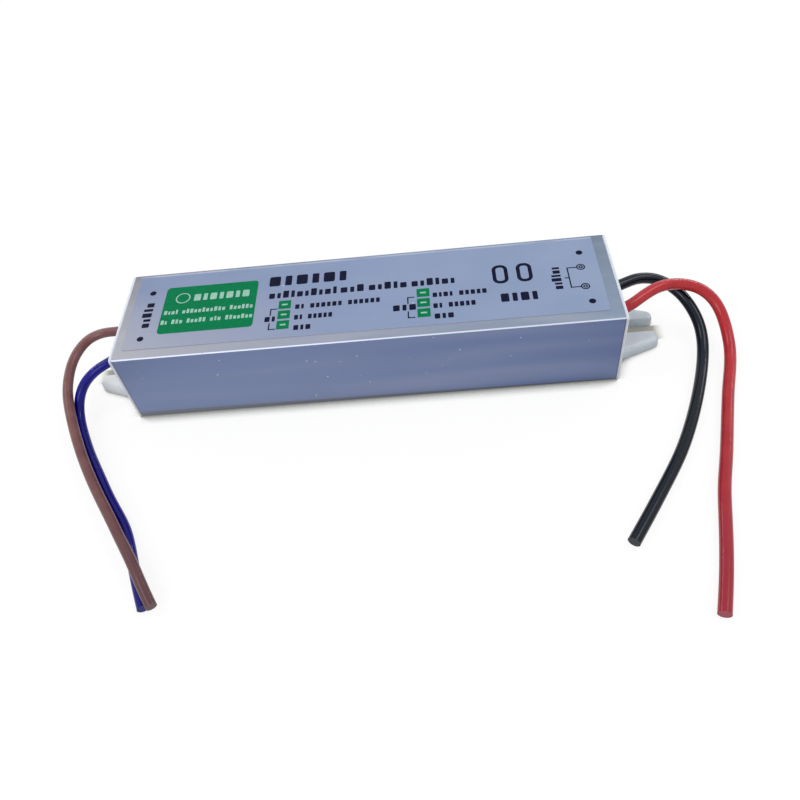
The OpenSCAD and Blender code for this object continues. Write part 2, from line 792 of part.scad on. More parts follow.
module output_capacitors() {
    color("darkgreen")
        for (x = [outcap_1_x, outcap_2_x]) {
            translate([x, row_y, pcb_top]) can(outcap_d, outcap_h);
            for (s = [-1, 1]) lead(x + s*outcap_pitch/2, row_y, pcb_top + lead_sink, lead_d);
        }
}

module output_choke() {
    color("dimgray") drum_choke(outchoke_x, -row_y, outchoke_d, outchoke_h, outchoke_pitch);
}

module resistors() {
    color("burlywood")
        for (r = RESISTORS)
            axial_part(r[0], r[1], r[2], resistor_d, resistor_l, lead_d, resistor_span);
}

// The transformer's outer block, which the compound runs round
module transformer_envelope() {
    translate([core_x - core_l/2, -core_w/2, pcb_top])
        cube([core_l, core_w, bobbin_stand + bobbin_h]);
}

// Everything on the board, as the potting compound surrounds it
module board_parts() {
    fuse();
    varistor();
    input_choke();
    bridge_rectifier();
    input_capacitor();
    controller();
    snubber_diode();
    snubber_capacitor();
    transformer_envelope();
    safety_capacitor();
    optocoupler();
    voltage_reference();
    output_diode();
    output_capacitors();
    output_choke();
    resistors();
    conductor_ends();
}

module potting_compound() {
    fill_l = tube_l/2 - collar_l;
    color("dimgray")
        difference() {
            union() {
                along_x(-fill_l, fill_l) rounded_rect(inner_w, inner_h, inner_r);
                along_x(-tube_l/2, tube_l/2)
                    square([collar_w - 2*collar_wall, collar_h - 2*collar_wall], center = true);
            }
            board_blank();
            for (p = LEADS) solder_cone(p);
            wire_cores(-1, input_wire_d);
            wire_cores(1, output_wire_d);
            board_parts();
        }
}

housing_tube();
label_film();
end_cap_input();
end_cap_output();
wire_brown();
wire_blue();
wire_black();
wire_red();
conductor_ends();
circuit_board();
solder_joints();
potting_compound();
fuse();
varistor();
input_choke();
bridge_rectifier();
input_capacitor();
controller();
snubber_diode();
snubber_capacitor();
transformer_core_input();
transformer_core_output();
transformer_bobbin();
transformer_winding();
transformer_pins();
safety_capacitor();
optocoupler();
voltage_reference();
output_diode();
output_capacitors();
output_choke();
resistors();
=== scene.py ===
"""Looks of a potted LED driver: metal tube, label film, moulded end caps and four lead wires."""

import json
import math

import bmesh
import bpy
from mathutils import Matrix, Vector


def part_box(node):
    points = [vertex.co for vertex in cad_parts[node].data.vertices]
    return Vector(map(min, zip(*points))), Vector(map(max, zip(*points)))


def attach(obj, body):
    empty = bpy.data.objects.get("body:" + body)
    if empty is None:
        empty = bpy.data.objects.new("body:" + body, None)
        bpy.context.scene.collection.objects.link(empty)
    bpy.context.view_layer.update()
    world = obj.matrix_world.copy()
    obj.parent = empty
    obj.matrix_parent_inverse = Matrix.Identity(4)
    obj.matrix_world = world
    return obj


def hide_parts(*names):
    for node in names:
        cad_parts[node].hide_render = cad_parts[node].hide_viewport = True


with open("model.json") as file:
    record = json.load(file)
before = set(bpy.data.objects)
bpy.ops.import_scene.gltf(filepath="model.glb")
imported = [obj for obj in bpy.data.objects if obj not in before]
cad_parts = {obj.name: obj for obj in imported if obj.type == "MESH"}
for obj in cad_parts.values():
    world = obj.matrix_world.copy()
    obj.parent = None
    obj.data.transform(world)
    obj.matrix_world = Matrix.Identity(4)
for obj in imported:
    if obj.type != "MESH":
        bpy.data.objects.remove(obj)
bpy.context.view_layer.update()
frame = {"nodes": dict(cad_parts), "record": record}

MM = 0.001
BODY = "root"

# Camera: the angles turn round the target, and the focal length is in pixels of the picture
IMAGE_PX = 800
FOCAL_PX = 759.3
SENSOR_MM = 36
CAMERA_AZIMUTH = math.radians(5.74)
CAMERA_ELEVATION = math.radians(49.87)
CAMERA_ROLL = math.radians(-8.86)
CAMERA_DISTANCE = 213.1 * MM
CAMERA_TARGET = Vector((4.78, 0, -19.09)) * MM
CLIP_START = 10 * MM


def make_camera():
    back = Vector((
        math.sin(CAMERA_AZIMUTH) * math.cos(CAMERA_ELEVATION),
        -math.cos(CAMERA_AZIMUTH) * math.cos(CAMERA_ELEVATION),
        math.sin(CAMERA_ELEVATION),
    ))
    level_right = Vector((0, 0, 1)).cross(back).normalized()
    level_up = back.cross(level_right)
    right = math.cos(CAMERA_ROLL) * level_right + math.sin(CAMERA_ROLL) * level_up
    up = back.cross(right)
    data = bpy.data.cameras.new("camera")
    data.sensor_width = SENSOR_MM
    data.lens = FOCAL_PX * SENSOR_MM / IMAGE_PX
    data.clip_start = CLIP_START
    camera = bpy.data.objects.new("camera", data)
    bpy.context.scene.collection.objects.link(camera)
    turn = Matrix((right, up, back)).transposed().to_4x4()
    camera.matrix_world = Matrix.Translation(CAMERA_TARGET + back * CAMERA_DISTANCE) @ turn
    bpy.context.scene.camera = camera


make_camera()


# Materials

def srgb(red, green, blue):
    """A colour as it looks, 0 to 255, as the linear values that a shader takes."""
    shares = [value / 255 for value in (red, green, blue)]
    linear = [s / 12.92 if s <= 0.04045 else ((s + 0.055) / 1.055) ** 2.4 for s in shares]
    return (*linear, 1.0)


def material(name):
    made = bpy.data.materials.new(name)
    made.use_nodes = True
    return made, made.node_tree, made.node_tree.nodes["Principled BSDF"]


def node(tree, kind, inputs=None, **settings):
    """A new node, with its settings, and its inputs linked or set."""
    made = tree.nodes.new(kind)
    for key, value in settings.items():
        setattr(made, key, value)
    for key, value in (inputs or {}).items():
        if isinstance(value, bpy.types.NodeSocket):
            tree.links.new(value, made.inputs[key])
        else:
            made.inputs[key].default_value = value
    return made


def place_mm(tree, stretch=(1, 1, 1)):
    """Places on the part in millimetres, scaled along each axis."""
    place = node(tree, "ShaderNodeTexCoord").outputs["Object"]
    factor = [share / MM for share in stretch]
    return node(tree, "ShaderNodeVectorMath", {0: place, 1: factor}, operation="MULTIPLY").outputs[0]


def facing(tree):
    """The surface's direction in the part's frame, as three outputs."""
    normal = node(tree, "ShaderNodeTexCoord").outputs["Normal"]
    return node(tree, "ShaderNodeSeparateXYZ", {0: normal}).outputs


def noise(tree, place, scale=1.0, detail=3.0, roughness=0.5):
    settings = {"Vector": place, "Scale": scale, "Detail": detail, "Roughness": roughness}
    return node(tree, "ShaderNodeTexNoise", settings).outputs["Fac"]


def math_node(tree, operation, *values):
    return node(tree, "ShaderNodeMath", dict(enumerate(values)), operation=operation).outputs[0]


def steps(tree, value, low, high, to_low=0.0, to_high=1.0):
    """A value carried from one range to another, and held at its ends."""
    inputs = {0: value, 1: low, 2: high, 3: to_low, 4: to_high}
    return node(tree, "ShaderNodeMapRange", inputs, clamp=True).outputs[0]


def ramp(tree, value, stops):
    """Colours along a value, each stop a place and a colour."""
    made = node(tree, "ShaderNodeValToRGB", {0: value})
    elements = made.color_ramp.elements
    while len(elements) < len(stops):
        elements.new(0.5)
    for element, (place, colour) in zip(elements, stops):
        element.position = place
        element.color = colour
    return made.outputs[0]


def blend(tree, share, first, second):
    made = node(tree, "ShaderNodeMix", data_type="RGBA")
    for index, value in ((0, share), (6, first), (7, second)):
        if isinstance(value, bpy.types.NodeSocket):
            tree.links.new(value, made.inputs[index])
        else:
            made.inputs[index].default_value = value
    return made.outputs[2]


def bump(tree, surface, height, distance):
    made = node(tree, "ShaderNodeBump", {"Height": height, "Distance": distance, "Strength": 1.0})
    tree.links.new(made.outputs[0], surface.inputs["Normal"])


def specks(tree, cell, radius):
    """Sparse round specks of dust: one in about half the cells, with sizes up to the radius."""
    found = node(tree, "ShaderNodeTexVoronoi", {"Vector": place_mm(tree), "Scale": 1 / cell})
    random = node(tree, "ShaderNodeSeparateColor", {0: found.outputs["Color"]}).outputs[0]
    reach = steps(tree, random, 0.5, 1.0, 0.0, radius / cell)
    inside = math_node(tree, "SUBTRACT", reach, found.outputs["Distance"])
    return steps(tree, inside, 0.0, 0.3 * radius / cell)


DUST = srgb(226, 230, 240)
SKY_TINT = (0.78, 0.88, 1.0, 1)

# Heights of the fine surface relief
METAL_GRAIN = 0.004 * MM
FILM_GRAIN = 0.002 * MM
MOULDED_GRAIN = 0.01 * MM
EXTRUDED_GRAIN = 0.008 * MM

# Half the tube's length and the width of the painted shade line in the gaps at its ends, in
# millimetres
TUBE_HALF = 59.4
GAP_SHADE_WIDTH = 0.22


def tube_metal():
    """Satin metal: blue-grey and paler at the input end, with a painted reflection on the front of the
    top there, painted shade on the sides, a painted highlight along the front top edge and painted
    shade in the gaps at the ends.
    """
    made, tree, surface = material("tube_metal")
    direction = facing(tree)
    place = node(tree, "ShaderNodeSeparateXYZ", {0: place_mm(tree)}).outputs
    along = steps(tree, place["X"], -TUBE_HALF, TUBE_HALF)
    sides = ramp(tree, along, [
        (0.0, srgb(126, 141, 180)), (0.3, srgb(126, 141, 180)), (0.5, srgb(120, 135, 175)),
        (0.75, srgb(107, 125, 169)), (1.0, srgb(95, 113, 158)),
    ])
    sides = blend(tree, steps(tree, place["Z"], 8, 20, 0.0, 0.35), sides, srgb(104, 121, 168))
    streaks = noise(tree, place_mm(tree, (0.016, 0.2, 0.13)), detail=1)
    sides = blend(tree, steps(tree, streaks, 0.46, 0.74, 0.0, 0.45), sides, srgb(149, 156, 184))
    # Painted reflection: the top's front strip is painted paler and warmer towards the input end.
    top = ramp(tree, along, [
        (0.0, srgb(166, 167, 176)), (0.5, srgb(143, 152, 173)), (1.0, srgb(127, 142, 165)),
    ])
    far = ramp(tree, along, [
        (0.0, srgb(118, 122, 132)), (0.04, srgb(130, 129, 143)), (0.3, srgb(124, 130, 150)),
        (0.5, srgb(131, 142, 167)), (0.93, srgb(126, 141, 167)), (0.97, srgb(106, 122, 141)),
    ])
    top = blend(tree, steps(tree, place["Y"], -12, 14, 0.0, 0.95), top, far)
    clouds = noise(tree, place_mm(tree, (0.05, 0.2, 0.2)), detail=3)
    top = blend(tree, steps(tree, clouds, 0.45, 0.75, 0.0, 0.3), top, srgb(176, 178, 188))
    # Painted shade: the upright sides get darker, bluer colours than the top, though they are the same
    # metal.
    colour = blend(tree, steps(tree, direction["Z"], 0.8, 0.97), sides, top)
    # Painted highlight: a bright line along the rounded front top edge, broken up by noise.
    edge_in = steps(tree, direction["Z"], 0.42, 0.52)
    edge_out = steps(tree, direction["Z"], 0.92, 0.80)
    edge_out = math_node(tree, "MULTIPLY", edge_out, steps(tree, direction["Y"], 0.1, -0.1))
    edge_highlight_breaks = steps(tree, noise(tree, place_mm(tree, (0.6, 1, 1)), detail=4), 0.22, 0.32)
    edge = math_node(tree, "MULTIPLY", math_node(tree, "MULTIPLY", edge_in, edge_out), edge_highlight_breaks)
    colour = blend(tree, edge, colour, srgb(226, 233, 248))
    foot = ramp(tree, along, [(0.1, srgb(124, 127, 140)), (0.9, srgb(96, 102, 118))])
    colour = blend(tree, sill(tree, direction["Y"]), colour, foot)
    # Painted shade: a dark line on the upright faces at both ends of the tube, in the gap where the
    # caps meet it.
    reach = math_node(tree, "ABSOLUTE", place["X"])
    gap_shade = steps(tree, reach, TUBE_HALF - GAP_SHADE_WIDTH, TUBE_HALF - 0.5 * GAP_SHADE_WIDTH)
    upright = steps(tree, direction["Z"], 0.4, 0.2)
    colour = blend(tree, math_node(tree, "MULTIPLY", gap_shade, upright), colour, srgb(62, 68, 88))
    colour = blend(tree, specks(tree, 2.0, 0.19), colour, DUST)
    tree.links.new(colour, surface.inputs["Base Color"])
    surface.inputs["Metallic"].default_value = 0.3
    grain = noise(tree, place_mm(tree, (0.25, 6, 6)), detail=4)
    tree.links.new(steps(tree, grain, 0.2, 0.8, 0.36, 0.50), surface.inputs["Roughness"])
    bump(tree, surface, grain, METAL_GRAIN)
    return made


# Height of the band at each end, and how softly it ends, in millimetres
SILL_LEFT = 1.95
SILL_RIGHT = 0.9
SILL_BLUR = 0.06


def sill(tree, direction_y):
    """The greyer band along the foot of the front face, taller at the input end."""
    slope = (SILL_RIGHT - SILL_LEFT) / (2 * TUBE_HALF)
    middle = (SILL_LEFT + SILL_RIGHT) / 2
    along = (-slope, 0, 1)
    inputs = {0: place_mm(tree), 1: along}
    height = node(tree, "ShaderNodeVectorMath", inputs, operation="DOT_PRODUCT").outputs["Value"]
    under = steps(tree, height, middle + SILL_BLUR, middle - SILL_BLUR)
    front = steps(tree, direction_y, -0.15, -0.35)
    return math_node(tree, "MULTIPLY", under, front)


def label_film():
    """Satin silver-blue film, with a painted reflection that makes it warmer at the front of the input
    end, and painted highlights on its raised back edge and its cut edges.
    """
    made, tree, surface = material("label_film")
    place = node(tree, "ShaderNodeSeparateXYZ", {0: place_mm(tree)}).outputs
    along = steps(tree, place["X"], -58, 58)
    base = ramp(tree, along, [
        (0.0, srgb(124, 139, 172)), (0.25, srgb(131, 146, 179)),
        (0.5, srgb(135, 151, 185)), (1.0, srgb(135, 153, 184)),
    ])
    # Painted reflection: the front of the film at the input end, and its front corner most, are
    # painted warmer and paler.
    front = math_node(
        tree, "MULTIPLY", steps(tree, place["X"], -5, -58), steps(tree, place["Y"], 9, -12))
    base = blend(tree, front, base, srgb(164, 167, 183))
    reflection_corner = math_node(
        tree, "MULTIPLY", steps(tree, place["X"], -50, -58, 0.0, 0.7), steps(tree, place["Y"], 8, -10))
    base = blend(tree, reflection_corner, base, srgb(163, 165, 176))
    # Painted highlight: the film's cut edges, which face away from up, are painted paler.
    base = blend(tree, steps(tree, facing(tree)["Z"], 0.9, 0.6), base, srgb(176, 182, 200))
    # Painted highlight: a pale, broken line along the film's back edge, where its raised edge catches
    # the light.
    back_edge_breaks = noise(tree, place_mm(tree, (0.12, 1, 1)), detail=3)
    back_edge_highlight = math_node(
        tree, "MULTIPLY", steps(tree, place["Y"], 13.3, 13.7), steps(tree, back_edge_breaks, 0.35, 0.55, 0.2, 0.9))
    base = blend(tree, back_edge_highlight, base, srgb(182, 192, 214))
    clouds = noise(tree, place_mm(tree, (0.05, 0.08, 1)), detail=3)
    base = blend(tree, steps(tree, clouds, 0.40, 0.75, 0.0, 0.3), base, srgb(156, 168, 196))
    colour = blend(tree, specks(tree, 4.0, 0.2), base, DUST)
    tree.links.new(colour, surface.inputs["Base Color"])
    surface.inputs["Metallic"].default_value = 0.1
    surface.inputs["Specular IOR Level"].default_value = 0.25
    fine = noise(tree, place_mm(tree), scale=3.0, detail=2)
    tree.links.new(steps(tree, fine, 0.2, 0.8, 0.42, 0.54), surface.inputs["Roughness"])
    bump(tree, surface, fine, FILM_GRAIN)
    return made


def ink(name, dark, light):
    """Screen print, matt and a little uneven."""
    made, tree, surface = material(name)
    patches = noise(tree, place_mm(tree), scale=0.9, detail=3)
    tree.links.new(ramp(tree, patches, [(0.35, dark), (0.7, light)]), surface.inputs["Base Color"])
    surface.inputs["Specular IOR Level"].default_value = 0.05
    tree.links.new(steps(tree, patches, 0.2, 0.8, 0.55, 0.68), surface.inputs["Roughness"])
    bump(tree, surface, noise(tree, place_mm(tree), scale=4.0), FILM_GRAIN)
    return made


CAP_GLOW_DEPTH = 1.6 * MM


def cap_plastic():
    """Milky moulded plastic that lets a little light through, whiter at the input end."""
    made, tree, surface = material("cap_plastic")
    clouds = noise(tree, place_mm(tree), scale=0.22, detail=3)
    colour = ramp(tree, clouds, [(0.35, srgb(209, 219, 228)), (0.65, srgb(218, 227, 234))])
    place = node(tree, "ShaderNodeSeparateXYZ", {0: place_mm(tree)}).outputs
    colour = blend(tree, steps(tree, place["X"], 0, -60, 0.0, 0.85), colour, srgb(242, 246, 247))
    colour = blend(tree, steps(tree, place["Z"], 3.0, 8.0), colour, srgb(222, 230, 243))
    colour = blend(tree, specks(tree, 3.0, 0.2), colour, srgb(168, 170, 164))
    tree.links.new(colour, surface.inputs["Base Color"])
    surface.inputs["Subsurface Weight"].default_value = 0.6
    surface.inputs["Subsurface Radius"].default_value = (1.0, 1.0, 0.85)
    surface.inputs["Subsurface Scale"].default_value = CAP_GLOW_DEPTH
    fine = noise(tree, place_mm(tree), scale=2.5, detail=3)
    tree.links.new(steps(tree, fine, 0.2, 0.8, 0.32, 0.46), surface.inputs["Roughness"])
    bump(tree, surface, fine, MOULDED_GRAIN)
    return made


def insulation(name, dark, light, end, gloss, roughness):
    """Extruded insulation with soft mottling, and painted shade that deepens its tone towards the free
    end.
    """
    made, tree, surface = material(name)
    mottle = noise(tree, place_mm(tree), scale=0.25, detail=4)
    colour = ramp(tree, mottle, [(0.35, dark), (0.68, light)])
    place = node(tree, "ShaderNodeSeparateXYZ", {0: place_mm(tree)}).outputs
    # Painted shade: the colour darkens towards the free end.
    colour = blend(tree, steps(tree, place["Y"], -15, -65, 0.0, 0.8), colour, end)
    colour = blend(tree, specks(tree, 5.0, 0.16), colour, DUST)
    tree.links.new(colour, surface.inputs["Base Color"])
    surface.inputs["Specular IOR Level"].default_value = gloss
    surface.inputs["Specular Tint"].default_value = SKY_TINT
    fine = noise(tree, place_mm(tree), scale=1.6, detail=4)
    uneven = steps(tree, fine, 0.25, 0.75, roughness - 0.05, roughness + 0.05)
    tree.links.new(uneven, surface.inputs["Roughness"])
    bump(tree, surface, fine, EXTRUDED_GRAIN)
    return made


def two_tone(name, dark, light, scale, roughness, metallic=0.0):
    """A plain material whose colour and gloss vary softly."""
    made, tree, surface = material(name)
    patches = noise(tree, place_mm(tree), scale=scale, detail=4)
    tree.links.new(ramp(tree, patches, [(0.35, dark), (0.65, light)]), surface.inputs["Base Color"])
    tree.links.new(
        steps(tree, patches, 0.2, 0.8, roughness - 0.06, roughness + 0.06),
        surface.inputs["Roughness"],
    )
    surface.inputs["Metallic"].default_value = metallic
    bump(tree, surface, patches, MOULDED_GRAIN)
    return made


# Lead wires: routes in millimetres from the cap's face to the free end
BROWN_ROUTE = [
    (-60, 4, 12.5), (-63, 4, 12.5), (-66, 4, 12.5), (-69.5, 4.5, 12), (-73, 3.5, 11.5),
    (-75.5, 1, 10.5), (-77, -3, 9.5), (-77, -8.5, 8.5), (-76.5, -13, 7), (-74.5, -19, 5.4),
    (-71.5, -26, 4.3), (-67.5, -33.5, 3.8), (-63.5, -40, 3.8), (-58.5, -47.5, 3.8),
    (-55, -53, 3.9), (-51, -59, 3.9), (-48, -64.5, 3.5), (-45.5, -68.5, 3),
]
BLUE_ROUTE = [
    (-60, -4, 12.5), (-62.5, -5, 12.5), (-65.5, -6.5, 12), (-69, -8, 11), (-72.5, -9.5, 8.5),
    (-74.5, -12, 5.5), (-74.5, -16, 2.7), (-72.5, -21, 1.5), (-69.5, -27, 1.3),
    (-65.5, -33.5, 1.3), (-62, -39.5, 1.3), (-58.5, -44.5, 1.3), (-55.5, -49, 1.3),
    (-53, -55.5, 1.3), (-51, -61, 1.3), (-48, -68, 1.3),
]
BLACK_ROUTE = [
    (60, 4, 12.5), (63, 5, 12.5), (66.5, 7, 12.5), (70, 7.5, 12), (73.5, 7.5, 11),
    (78.5, 5, 8.5), (81.5, -1, 5.5), (82, -6, 3), (81, -11, 1.6), (79, -17, 1.4),
    (76, -24.5, 1.4), (72.5, -32, 1.4), (69, -38.5, 1.4), (65, -44.5, 1.4),
    (61.5, -49.5, 1.4), (58, -54.5, 1.4), (54, -60, 1.4),
]
RED_ROUTE = [
    (60, -4, 12.5), (63, -3.5, 13), (66.5, -1, 13.5), (70.5, 1.5, 14), (74.5, 3, 13.5),
    (78.5, 3.5, 12.5), (82.5, 3, 11), (85.5, 0.5, 9), (87, -2.5, 6.5), (87.5, -6, 4.5),
    (87.5, -10.5, 2.5), (86, -16, 1.6), (84, -21.5, 1.4), (82, -28, 1.4), (80, -34.5, 1.4),
    (78, -41, 1.4), (75.5, -48, 1.4), (74, -54, 1.4), (72.5, -60, 1.4), (71, -65.5, 1.4),
    (69.5, -70.5, 1.4), (67.5, -76.5, 1.4),
]
INPUT_WIRE = 2.5 * MM
OUTPUT_WIRE = 2.8 * MM
STEPS_ALONG = 10
STEPS_ROUND = 7


def place_piece(piece, surface, slot, *nodes):
    """Gives a piece its material and body, and hides the solids that it stands for."""
    piece.data.materials.clear()
    piece.data.materials.append(surface)
    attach(piece, BODY)
    if nodes:
        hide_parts(*nodes)
    return piece


def add_piece(name, data):
    piece = bpy.data.objects.new(name, data)
    bpy.context.scene.collection.objects.link(piece)
    return piece


def wire_curve(name, route, diameter):
    """One smooth open curve along the route, with a round section."""
    data = bpy.data.curves.new(name, "CURVE")
    data.dimensions = "3D"
    data.resolution_u = STEPS_ALONG
    data.bevel_depth = diameter / 2
    data.bevel_resolution = STEPS_ROUND
    data.use_fill_caps = True
    line = data.splines.new("NURBS")
    line.points.add(len(route) - 1)
    for point, place in zip(line.points, route):
        point.co = (*(Vector(place) * MM), 1)
    line.order_u = 4
    line.use_endpoint_u = True
    return add_piece(name, data)


def mesh_piece(name, shape, smooth_angle=None):
    """An object from a bmesh, smooth over edges flatter than the angle."""
    data = bpy.data.meshes.new(name)
    bmesh.ops.recalc_face_normals(shape, faces=shape.faces)
    shape.to_mesh(data)
    shape.free()
    if smooth_angle is not None:
        data.shade_smooth()
        data.set_sharp_from_angle(angle=math.radians(smooth_angle))
    return add_piece(name, data)


COPPER = two_tone("copper", srgb(176, 112, 78), srgb(214, 150, 112), 3.0, 0.3, metallic=1.0)

# Each insulation's darker tone, lighter tone and painted shade tone at the free end
BROWN = srgb(118, 74, 73), srgb(134, 89, 86), srgb(88, 55, 57)
BLUE = srgb(15, 7, 120), srgb(25, 14, 142), srgb(15, 8, 112)
BLACK = srgb(6, 9, 18), srgb(11, 15, 28), srgb(6, 8, 15)
RED = srgb(180, 36, 42), srgb(196, 48, 52), srgb(150, 32, 46)
# Colour, route, diameter, length in millimetres, tones, gloss and roughness
WIRES = (
    ("brown", BROWN_ROUTE, INPUT_WIRE, 95.3, BROWN, 0.32, 0.22),
    ("blue", BLUE_ROUTE, INPUT_WIRE, 82.0, BLUE, 0.24, 0.18),
    ("black", BLACK_ROUTE, OUTPUT_WIRE, 94.3, BLACK, 0.32, 0.17),
    ("red", RED_ROUTE, OUTPUT_WIRE, 110.9, RED, 0.34, 0.18),
)


def make_wires():
    for colour, route, diameter, length, tones, gloss, roughness in WIRES:
        wire = wire_curve(f"lead_{colour}", route, diameter)
        surface = insulation(f"insulation_{colour}", *tones, gloss, roughness)
        place_piece(wire, surface, f"insulation_{colour}", f"wire_{colour}")


make_wires()


# Housing tube and end caps
TUBE_WALL = 1.2 * MM
TUBE_EDGE = 0.6 * MM
TUBE_END_BEVEL = 0.12 * MM
TUBE_SHARP_ANGLE = 50
CORNER_STEPS = 6


def rounded_outline(width, height, radius):
    """Points round a rectangle with round corners, centred, counter-clockwise."""
    points = []
    for quarter, (sx, sy) in enumerate(((1, 1), (-1, 1), (-1, -1), (1, -1))):
        for step in range(CORNER_STEPS + 1):
            angle = math.tau / 4 * (quarter + step / CORNER_STEPS)
            points.append((
                sx * (width / 2 - radius) + radius * math.cos(angle),
                sy * (height / 2 - radius) + radius * math.sin(angle),
            ))
    return points


def make_tube():
    """The tube as one closed skin: outside, both cut ends with a fine bevel, and inside."""
    low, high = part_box("housing_tube")
    size = high - low
    middle = (low.z + high.z) / 2
    bevel = TUBE_END_BEVEL
    sections = [
        (low.x, bevel), (low.x + 0.3 * bevel, 0.3 * bevel), (low.x + bevel, 0),
        (high.x - bevel, 0), (high.x - 0.3 * bevel, 0.3 * bevel), (high.x, bevel),
        (high.x, TUBE_WALL), (low.x, TUBE_WALL),
    ]
    shape = bmesh.new()
    rings = []
    for x, inset in sections:
        radius = max(TUBE_EDGE - inset, TUBE_EDGE / 2)
        outline = rounded_outline(size.y - 2 * inset, size.z - 2 * inset, radius)
        rings.append([shape.verts.new((x, y, middle + z)) for y, z in outline])
    for first, second in zip(rings, rings[1:] + rings[:1]):
        for k in range(len(first)):
            after = (k + 1) % len(first)
            shape.faces.new((first[k], first[after], second[after], second[k]))
    tube = mesh_piece("tube_shell", shape, TUBE_SHARP_ANGLE)
    flat_faces(tube)
    place_piece(tube, tube_metal(), "tube_metal", "housing_tube")


def flat_faces(piece):
    """Keeps large faces flat beside the small rounds that they run into."""
    normals = piece.modifiers.new("flat_faces", "WEIGHTED_NORMAL")
    normals.keep_sharp = True
    normals.weight = 100


CAP_BEVEL = 0.22 * MM
CAP_BEVEL_STEPS = 3
CAP_SHARP_ANGLE = 40
FLAT_ANGLE = 0.5
WELD = 0.001 * MM


def softened(node_name, name, width):
    """A copy of a solid with its sharp edges rounded, as moulded pieces have them."""
    shape = bmesh.new()
    shape.from_mesh(frame["nodes"][node_name].data)
    bmesh.ops.remove_doubles(shape, verts=shape.verts, dist=WELD)
    bmesh.ops.dissolve_limit(
        shape, angle_limit=math.radians(FLAT_ANGLE), verts=shape.verts, edges=shape.edges,
    )
    piece = mesh_piece(name, shape, CAP_SHARP_ANGLE)
    edges = piece.modifiers.new("round_edges", "BEVEL")
    edges.width = width
    edges.segments = CAP_BEVEL_STEPS
    edges.limit_method = "ANGLE"
    edges.angle_limit = math.radians(CAP_SHARP_ANGLE)
    edges.harden_normals = True
    return piece


def make_caps():
    surface = cap_plastic()
    for end in ("input", "output"):
        cap = softened(f"end_cap_{end}", f"cap_{end}", CAP_BEVEL)
        place_piece(cap, surface, "cap_plastic", f"end_cap_{end}")


make_tube()
make_caps()


# Label film and its print, in millimetres on the top face
FILM_CORNER = 0.4
FILM_BEVEL = 0.05
FILM_SHARP_ANGLE = 30
PRINT_T = 0.02


def film_box():
    low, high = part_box("label_film")
    return low / MM, high / MM


def box_outline(x0, x1, y0, y1, radius=0.0):
    """A rectangle given by its sides, with round corners if a radius is given."""
    if radius == 0:
        return [(x0, y0), (x1, y0), (x1, y1), (x0, y1)]
    middle = Vector(((x0 + x1) / 2, (y0 + y1) / 2))
    return [(x + middle.x, y + middle.y) for x, y in rounded_outline(x1 - x0, y1 - y0, radius)]


def disc_outline(x, y, diameter, sides=32):
    return [
        (x + diameter / 2 * math.cos(math.tau * k / sides),
         y + diameter / 2 * math.sin(math.tau * k / sides))
        for k in range(sides)
    ]


def add_prism(shape, outline, low, high, inset=0.0):
    """A flat prism in millimetres, its top drawn in by the inset to soften the edge."""
    centre = sum((Vector(p) for p in outline), Vector((0, 0))) / len(outline)
    levels = [(low, 0.0), (high - inset, 0.0), (high, inset)] if inset else [(low, 0.0), (high, 0.0)]
    rings = []
    for z, shrink in levels:
        ring = []
        for p in outline:
            arm = Vector(p) - centre
            x, y = Vector(p) - Vector((math.copysign(shrink, arm.x), math.copysign(shrink, arm.y)))
            ring.append(shape.verts.new((x * MM, y * MM, z * MM)))
        rings.append(ring)
    for first, second in zip(rings, rings[1:]):
        for k in range(len(first)):
            after = (k + 1) % len(first)
            shape.faces.new((first[k], first[after], second[after], second[k]))
    shape.faces.new(rings[0][::-1])
    shape.faces.new(rings[-1])


def add_frame(shape, outer, inner, low, high):
    """A flat ring or frame between two outlines of as many points, in millimetres."""
    loops = []
    for outline, z in ((outer, low), (outer, high), (inner, high), (inner, low)):
        loops.append([shape.verts.new((x * MM, y * MM, z * MM)) for x, y in outline])
    for first, second in zip(loops, loops[1:] + loops[:1]):
        for k in range(len(first)):
            after = (k + 1) % len(first)
            shape.faces.new((first[k], first[after], second[after], second[k]))


def make_film():
    low, high = film_box()
    shape = bmesh.new()
    outline = box_outline(low.x, high.x, low.y, high.y, FILM_CORNER)
    add_prism(shape, outline, low.z, high.z, FILM_BEVEL)
    film = mesh_piece("label_sheet", shape, FILM_SHARP_ANGLE)
    flat_faces(film)
    place_piece(film, label_film(), "label_film", "label_film")


# Blocks of a line: heights as shares of the line's, and widths and gaps in proportion
BLOCK_HEIGHTS = (1.0, 0.74, 0.74, 0.95, 0.74, 1.0, 0.74)
BLOCK_WIDTHS = (1.0, 0.85, 0.95, 0.6, 0.9, 0.8)
BLOCK_GAP = 0.42
WORD_SPACE = 1.1
BLOCK_ROUND = 0.18


def block_line(x0, x1, y0, y1, words, upright=False):
    """A line of plain blocks in place of wording: the words' block counts fill the length."""
    widths = []
    for word, count in enumerate(words):
        for k in range(count):
            widths.append(BLOCK_WIDTHS[(2 * word + 3 * k) % len(BLOCK_WIDTHS)])
        widths.append(None)
    widths.pop()
    total = sum(WORD_SPACE if w is None else w + BLOCK_GAP for w in widths) - BLOCK_GAP
    unit = (x1 - x0) / total
    outlines = []
    x = x0
    for k, width in enumerate(widths):
        if width is None:
            x += WORD_SPACE * unit
            continue
        height = 1.0 if upright else BLOCK_HEIGHTS[(3 * k + len(words)) % len(BLOCK_HEIGHTS)]
        right, top = x + width * unit, y0 + height * (y1 - y0)
        radius = BLOCK_ROUND * min(right - x, top - y0)
        outlines.append(box_outline(x, right, y0, top, radius))
        x = right + BLOCK_GAP * unit
    return outlines


def sideways(outlines, x, y):
    """Outlines drawn from the origin, turned to run along y and moved to a point."""
    return [[(x - py, y + px) for px, py in outline] for outline in outlines]


